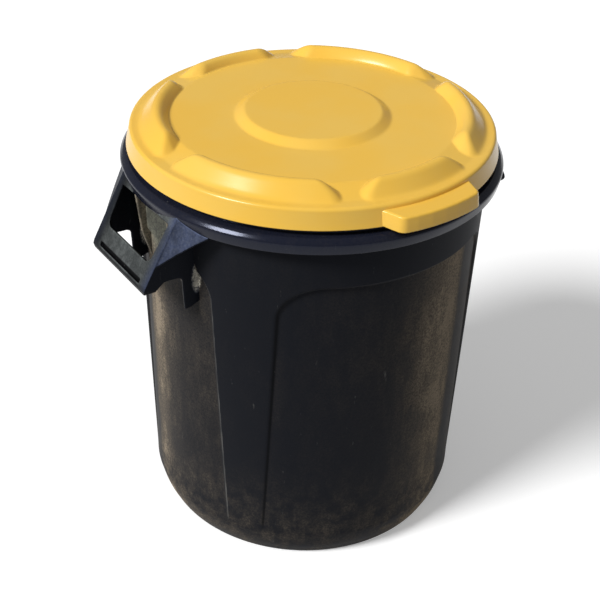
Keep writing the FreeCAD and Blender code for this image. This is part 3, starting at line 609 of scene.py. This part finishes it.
def handleWork():
    work = bmesh.new()
    half, plate, top = grip["halfWidth"], grip["plate"], grip["barTop"]
    # grip bar with its groove, the lip under it and the fronts of the cheeks
    depth, width = grip["grooveDepth"], grip["grooveWidth"] / slant
    start = top - (top - grip["foot"][1]) * grip["grooveShare"]
    hook = [onPlate(grip["hookTop"]), *grip["hook"]]
    lip = hook + [*grip["lip"], onPlate(grip["lipTop"], plate)]
    for low, high in ((-half, -grip["grooveHalf"]), (grip["grooveHalf"], half)):
        addPrism(work, [onPlate(top), *lip, onPlate(top, plate)], low, high)
    grooved = [onPlate(top), onPlate(start), onPlate(start, depth), onPlate(start - width, depth),
               onPlate(start - width), *lip, onPlate(top, plate)]
    addPrism(work, grooved, -grip["grooveHalf"], grip["grooveHalf"])
    for inner, outer in ((-half, plate - half), (half - plate, half)):
        addPrism(work, [onPlate(top), *hook, *grip["cheekFront"]], inner, outer)
    # rounded lower corners at the bar's two ends
    for side in (-1, 1):
        for turn in grip["endTurns"]:
            away = Vector((0, side * math.sin(math.radians(turn)), -math.cos(math.radians(turn))))
            centre = Vector((0, side * (half - grip["endRound"]), grip["endFoot"] + grip["endRound"]))
            bmesh.ops.bisect_plane(work, geom=work.verts[:] + work.edges[:] + work.faces[:], clear_outer=True,
                                   plane_co=(centre + away * grip["endRound"]) * mm, plane_no=away)
            bmesh.ops.holes_fill(work, edges=[edge for edge in work.edges if edge.is_boundary])
    for side in (-1, 1):
        # post beside the hand hole, with the hole's rounded lower corner
        hole, corner, sunk = grip["holeHalf"], grip["holeRound"], top - grip["postOverlap"]
        post = [(half, sunk), (half, grip["beadTop"]), (grip["holeTopHalf"], grip["beadTop"]),
                (grip["holeTopHalf"], grip["top"][1])]
        post += [(hole - corner + corner * math.cos(t), top + corner - corner * math.sin(t))
                 for t in np.linspace(0, math.pi / 2, 7)]
        post += [(hole - corner, sunk)]
        addSolid(work, *[
            [(onPlate(z, back)[0], side * y, onPlate(z, back)[1]) for y, z in post] for back in (0, plate)])
        # the plate's strip against the bead
        inner, outer = sorted((side * grip["stripInner"], side * half))
        strip = [onPlate(grip["beadTop"]), onPlate(grip["stripFoot"]), (grip["stripRoot"], grip["stripFoot"]),
                 (grip["stripRoot"], grip["beadTop"])]
        addPrism(work, strip, inner, outer)
        # rear of the cheek, with its tail on the wall
        inner, outer = sorted((side * (half - plate), side * half))
        rear = [*grip["cheekRear"], *[onPlate(level) for level in grip["cheekRearTops"]], *grip["cheekRoot"]]
        addPrism(work, rear, inner, outer)
        sections = wingSections(side)
        for first, last in zip(sections, sections[1:]):
            addHull(work, [*first, *last])
    return work


handleShape = fusedMesh("rightHandle", handleWork())
halfTurn = Matrix.Rotation(math.pi, 4, "Z")
otherShape = handleShape.copy()
otherShape.transform(halfTurn)
addPiece("rightHandle", handleShape, handlePlastic, "container", ["right_handle"])
addPiece("leftHandle", otherShape, handlePlastic, "container", ["left_handle"])
print("handles made:", len(handleShape.polygons), "faces each")


# the pair of upright ribs behind each grip bar, deepest under the bead, as (reach, height) in mm
ribs = {
    "inner": 38, "outer": 42,
    "outline": [
        (215, 372), (215.7, 372), (217, 392), (217.6, 411), (222.2, 423), (230.7, 450), (234.5, 482),
        (236.8, 499.5), (238, 512), (223, 512), (221, 457), (216, 446)],
}


def ribWork():
    work = bmesh.new()
    for side in (-1, 1):
        inner, outer = sorted((side * ribs["inner"], side * ribs["outer"]))
        addPrism(work, ribs["outline"], inner, outer)
    return work


ribShape = fusedMesh("rightHandleRibs", ribWork())
otherRibs = ribShape.copy()
otherRibs.transform(halfTurn)
addPiece("rightHandleRibs", ribShape, ribPlastic, "container", ["right_handle_ribs"])
addPiece("leftHandleRibs", otherRibs, ribPlastic, "container", ["left_handle_ribs"])
print("handle ribs made")


# lid cover: raised disc and six raised crescents on a panel that falls to the margin, in mm and degrees
lid = {
    "thickness": 3, "turn": 2, "azimuths": 900,
    # each crescent's middle from the tab's, half its crest's angle, its height, and the radii of its inner
    # wall's foot and top
    "crescents": [
        (0, 15.5, 582.3, 187, 197.5), (57.2, 24, 584.3, 183, 195.6), (122.8, 24, 584.3, 183, 195.6),
        (180, 15.5, 582.3, 187, 197.5), (-122.8, 24, 584.3, 183, 195.6), (-57.2, 24, 584.3, 183, 195.6)],
    # radius and height: the panel with its disc, and the crescents' outer slope
    "profile": [(0, 580), (88, 580), (100.4, 572), (184, 572), (217, 565), (245, 565)], "profileRound": 4,
    "outerSlope": [(181, 605), (200.5, 585.5), (221, 565), (242, 560)], "outerRound": 8,
    "innerFoot": 571.6, "innerRise": 13.5, "innerCurve": 0.8,
    "crestRound": 4, "ridgeRound": 5.6, "endRound": 6, "footRound": 1.6, "endSlope": 0.78,
    # radii inside and outside which the crescents' ends are cut back, and by how much
    "endMiddle": 200, "endSkew": 0.8, "endOuter": 211, "endOuterSkew": 0.6, "skewRound": 3,
    # rounded edge, then radius and drop down the skirt's outside and up its inside
    "edgeRadius": 229.9, "edgeRound": 4.5, "edgeTurns": (18, 36, 54, 72, 90),
    "skirt": [
        (235.5, 10), (237, 17), (238.5, 24), (238.9, 25.0), (238.7, 25.45), (238.2, 25.6), (236.9, 25.6),
        (236.4, 25.4), (236.1, 25.0), (234.6, 18), (232.6, 9), (231.6, 5.2), (230.8, 3.6), (229.6, 3.02)],
    "underEdge": 228.5,
}


def lidTop(radius, azimuth):
    base = softLine(radius, lid["profile"], lid["profileRound"])
    outer = softLine(radius, lid["outerSlope"], lid["outerRound"])
    # the ends are cut back towards the lid's middle and towards its margin
    within, beyond, soft = lid["endMiddle"] - radius, radius - lid["endOuter"], lid["skewRound"] ** 2
    skew = lid["endSkew"] * (within + np.sqrt(within ** 2 + soft)) / 2
    skew = skew + lid["endOuterSkew"] * (beyond + np.sqrt(beyond ** 2 + soft)) / 2
    for middle, endAngle, crestHeight, innerFoot, innerTop in lid["crescents"]:
        share = (radius - innerFoot) / (innerTop - innerFoot)
        rise = lid["innerRise"] * np.clip(share, 0, 2) ** lid["innerCurve"]
        inner = lid["innerFoot"] + np.where(share < 0, radius - innerFoot, rise)
        offset = np.abs((azimuth - lid["turn"] - middle + 180) % 360 - 180)
        end = crestHeight - (np.radians(offset - endAngle) * radius + skew) * lid["endSlope"]
        ridge = softMin(inner, outer, lid["ridgeRound"])
        crest = softMin(ridge, crestHeight + 0 * radius, lid["crestRound"])
        base = softMax(base, softMin(crest, end, lid["endRound"]), lid["footRound"])
    return base


def lidMesh():
    around = np.arange(lid["azimuths"])[:, None] * 360 / lid["azimuths"]
    edgeRadius, edgeRound = lid["edgeRadius"], lid["edgeRound"]
    # rings of the top, closest together on the disc's edge and the crescents, and every other one under it
    topRadii = np.concatenate([
        [0, 30, 60, 78, 82, 85], np.arange(86.5, 104, 1.5), [108, 116, 130, 146, 160, 168, 173, 177],
        np.arange(179, 200, 1), np.arange(200, 229, 1.5), [edgeRadius]])
    top = lidTop(topRadii[None, :], around)
    edge = lidTop(np.array([[edgeRadius]]), around)
    turn = np.radians(np.array(lid["edgeTurns"]))
    skirt = np.array(lid["skirt"])
    sideRadii = np.concatenate([edgeRadius + edgeRound * np.sin(turn), skirt[:, 0]])
    sideDrop = np.concatenate([edgeRound - edgeRound * np.cos(turn), skirt[:, 1]])
    underRadii = np.concatenate([[lid["underEdge"]], topRadii[-3::-2]])
    under = lidTop(underRadii[None, :], around) - lid["thickness"]
    radii = np.concatenate([topRadii, sideRadii, underRadii])
    heights = np.concatenate([top, edge - sideDrop[None, :], under], axis=1)
    return skinMesh("lidCover", polar(radii[None, :], around, heights))


addPiece("lidCover", lidMesh(), lidPlastic, "lid", ["lid_cover"])
print("lid cover made")


# pull tab: hollow, flared towards its foot, with rounded corners that flare into the skirt, in mm and degrees
tab = {
    "reach": 261.8, "topInset": 2, "top": 559, "foot": 539.4, "halfAngle": 13.1, "corner": 13, "edge": 3,
    "rootAngle": 17.7, "root": 233, "rootFlare": (240, 1.5, 5), "frontRound": 30, "cornerAngle": 4.5,
    "thickness": 3, "footRound": 0.6, "deckInset": 8.5, "deckReach": 9,
}


# the tab's plan outline from one root to the other, along its middle, and the way inward at each point
def tabOutline():
    def at(radius, angle):
        return radius * math.sin(math.radians(angle)), radius * math.cos(math.radians(angle))
    half, reach = tab["halfAngle"], tab["reach"]
    flareRadius, flareAngle, flareRound = tab["rootFlare"]
    turn = half - tab["cornerAngle"]
    knots = [(*at(tab["root"], tab["rootAngle"]), 0),
             (*at(flareRadius, tab["rootAngle"] - flareAngle), flareRound),
             (*at(reach, half), tab["corner"]),
             *[(*at(reach, angle), tab["frontRound"]) for angle in np.linspace(turn, -turn, 5)],
             (*at(reach, -half), tab["corner"]),
             (*at(flareRadius, flareAngle - tab["rootAngle"]), flareRound),
             (*at(tab["root"], -tab["rootAngle"]), 0)]
    line = roundedLoop(knots, 7)
    tangent = np.gradient(line, axis=0)
    tangent /= np.linalg.norm(tangent, axis=1)[:, None]
    inward = np.stack([tangent[:, 1], -tangent[:, 0]], axis=1)
    middle = np.array([0, tab["root"] - 12])        # a point inside the outline
    inward *= np.sign(np.sum(inward * (middle - line), axis=1))[:, None]
    return line, inward


def tabWork():
    line, inward = tabOutline()
    edge, thick, lean, soft = tab["edge"], tab["thickness"], tab["topInset"], tab["footRound"]
    top, foot, deckReach = tab["top"], tab["foot"], tab["deckReach"]
    # profile across the tab's wall: inset from the outline, and height
    profile = [(soft, foot), (0, foot + soft), (lean / 2, (top + foot) / 2)]
    profile += [(lean + edge * (1 - math.cos(t)), top - edge + edge * math.sin(t))
                for t in np.linspace(0, math.pi / 2, 6)]
    profile += [(deckReach, top), (deckReach, top - thick), (thick + lean + 1.6, top - thick),
                (thick + lean + 0.6, top - thick - 1.4), (thick, foot + soft), (thick - soft, foot)]
    work = bmesh.new()
    rings = []
    for point, normal in zip(line, inward):
        spots = [(point + normal * inset, level) for inset, level in profile]
        rings.append([work.verts.new(Vector((spot[0], -spot[1], level)) * mm) for spot, level in spots])
    for first, second in zip(rings, rings[1:]):
        for index in range(len(profile)):
            after = (index + 1) % len(profile)
            work.faces.new([first[index], second[index], second[after], first[after]])
    work.faces.new(rings[0][::-1])
    work.faces.new(rings[-1])
    # deck of the tab, from the inset edge back into the skirt
    deck = line + inward * tab["deckInset"]
    addPrism(work, [(across, -along) for across, along in deck], top - thick, top, upright=True)
    bmesh.ops.recalc_face_normals(work, faces=work.faces)
    return work


tabShape = fusedMesh("lidPullTab", tabWork())
tabShape.transform(Matrix.Rotation(math.radians(lid["turn"]), 4, "Z"))
addPiece("lidPullTab", tabShape, lidPlastic, "lid", ["lid_pull_tab"])
print("pull tab made")


# floor of pale paper, soft light from the left and above; sizes in m
studio = {
    "floor": "#f0f0f0", "floorAround": "#8f8f8f", "floorSize": 14, "glow": 0.28, "world": 0.25,
    "keyStrength": 3.4, "keySpread": 18, "keyTurn": -91, "keyRise": 42, "keyAway": 3,
}
floor = bpy.data.objects.new("floor", bpy.data.meshes.new("floor"))
half = studio["floorSize"] / 2
corners = [(-half, -half, 0), (half, -half, 0), (half, half, 0), (-half, half, 0)]
floor.data.from_pydata(corners, [], [(0, 1, 2, 3)])
bpy.context.scene.collection.objects.link(floor)
floorPaint, tree = newMaterial("paperFloor")
# the paper is white where it is looked at, straight or in a reflection, and throws little light on the object
rays = addNode(tree, "LightPath", out=slice(None))
seen = addNode(tree, "Math", {0: rays[0], 1: rays[3]}, operation="ADD")
seen = addNode(tree, "Math", {0: seen, 1: rays[6]}, operation="ADD", use_clamp=True)
paint = addNode(tree, "Mix", {
    0: seen, 6: linear(studio["floorAround"]), 7: linear(studio["floor"])}, out=2, data_type="RGBA")
matt = addNode(tree, "BsdfDiffuse", {"Color": paint})
glow = addNode(tree, "Math", {0: seen, 1: studio["glow"]}, operation="MULTIPLY")
shine = addNode(tree, "Emission", {"Color": (1, 1, 1, 1), "Strength": glow})
both = addNode(tree, "AddShader", {0: matt, 1: shine})
addNode(tree, "OutputMaterial", {"Surface": both}, out=slice(0))
floor.data.materials.append(floorPaint)

world = bpy.data.worlds.new("studio")
world.use_nodes = True
world.node_tree.nodes.clear()
sky = addNode(world.node_tree, "Background", {"Color": (1, 1, 1, 1), "Strength": studio["world"]})
addNode(world.node_tree, "OutputWorld", {"Surface": sky}, out=slice(0))
bpy.context.scene.world = world

key = bpy.data.objects.new("keyLamp", bpy.data.lights.new("keyLamp", "SUN"))
bpy.context.scene.collection.objects.link(key)
key.data.energy = studio["keyStrength"]
key.data.angle = math.radians(studio["keySpread"])
turn, rise = math.radians(studio["keyTurn"]), math.radians(studio["keyRise"])
away = Vector((math.sin(turn) * math.cos(rise), -math.cos(turn) * math.cos(rise), math.sin(rise)))
key.location = away * studio["keyAway"]
key.rotation_euler = away.to_track_quat("Z", "Y").to_euler()

# camera where the photograph was taken from: its place in m, which way its picture's right and up point,
# its lens and sensor in mm, and how far it sees in m
view = {
    "place": (-0.83731, -1.19581, 1.25953), "right": (0.83213, -0.55400, 0.02544),
    "up": (0.28990, 0.47363, 0.83164), "lens": 75, "sensor": 36, "farthest": 50,
}
camera = bpy.data.objects.new("camera", bpy.data.cameras.new("camera"))
bpy.context.scene.collection.objects.link(camera)
rightWay, upWay = Vector(view["right"]), Vector(view["up"])
turned = Matrix((rightWay, upWay, rightWay.cross(upWay))).transposed()
camera.matrix_world = Matrix.Translation(view["place"]) @ turned.to_4x4()
camera.data.lens = view["lens"]
camera.data.sensor_width = view["sensor"]
camera.data.clip_end = view["farthest"]
bpy.context.scene.camera = camera
bpy.context.scene.view_settings.view_transform = "Standard"
print("studio made")
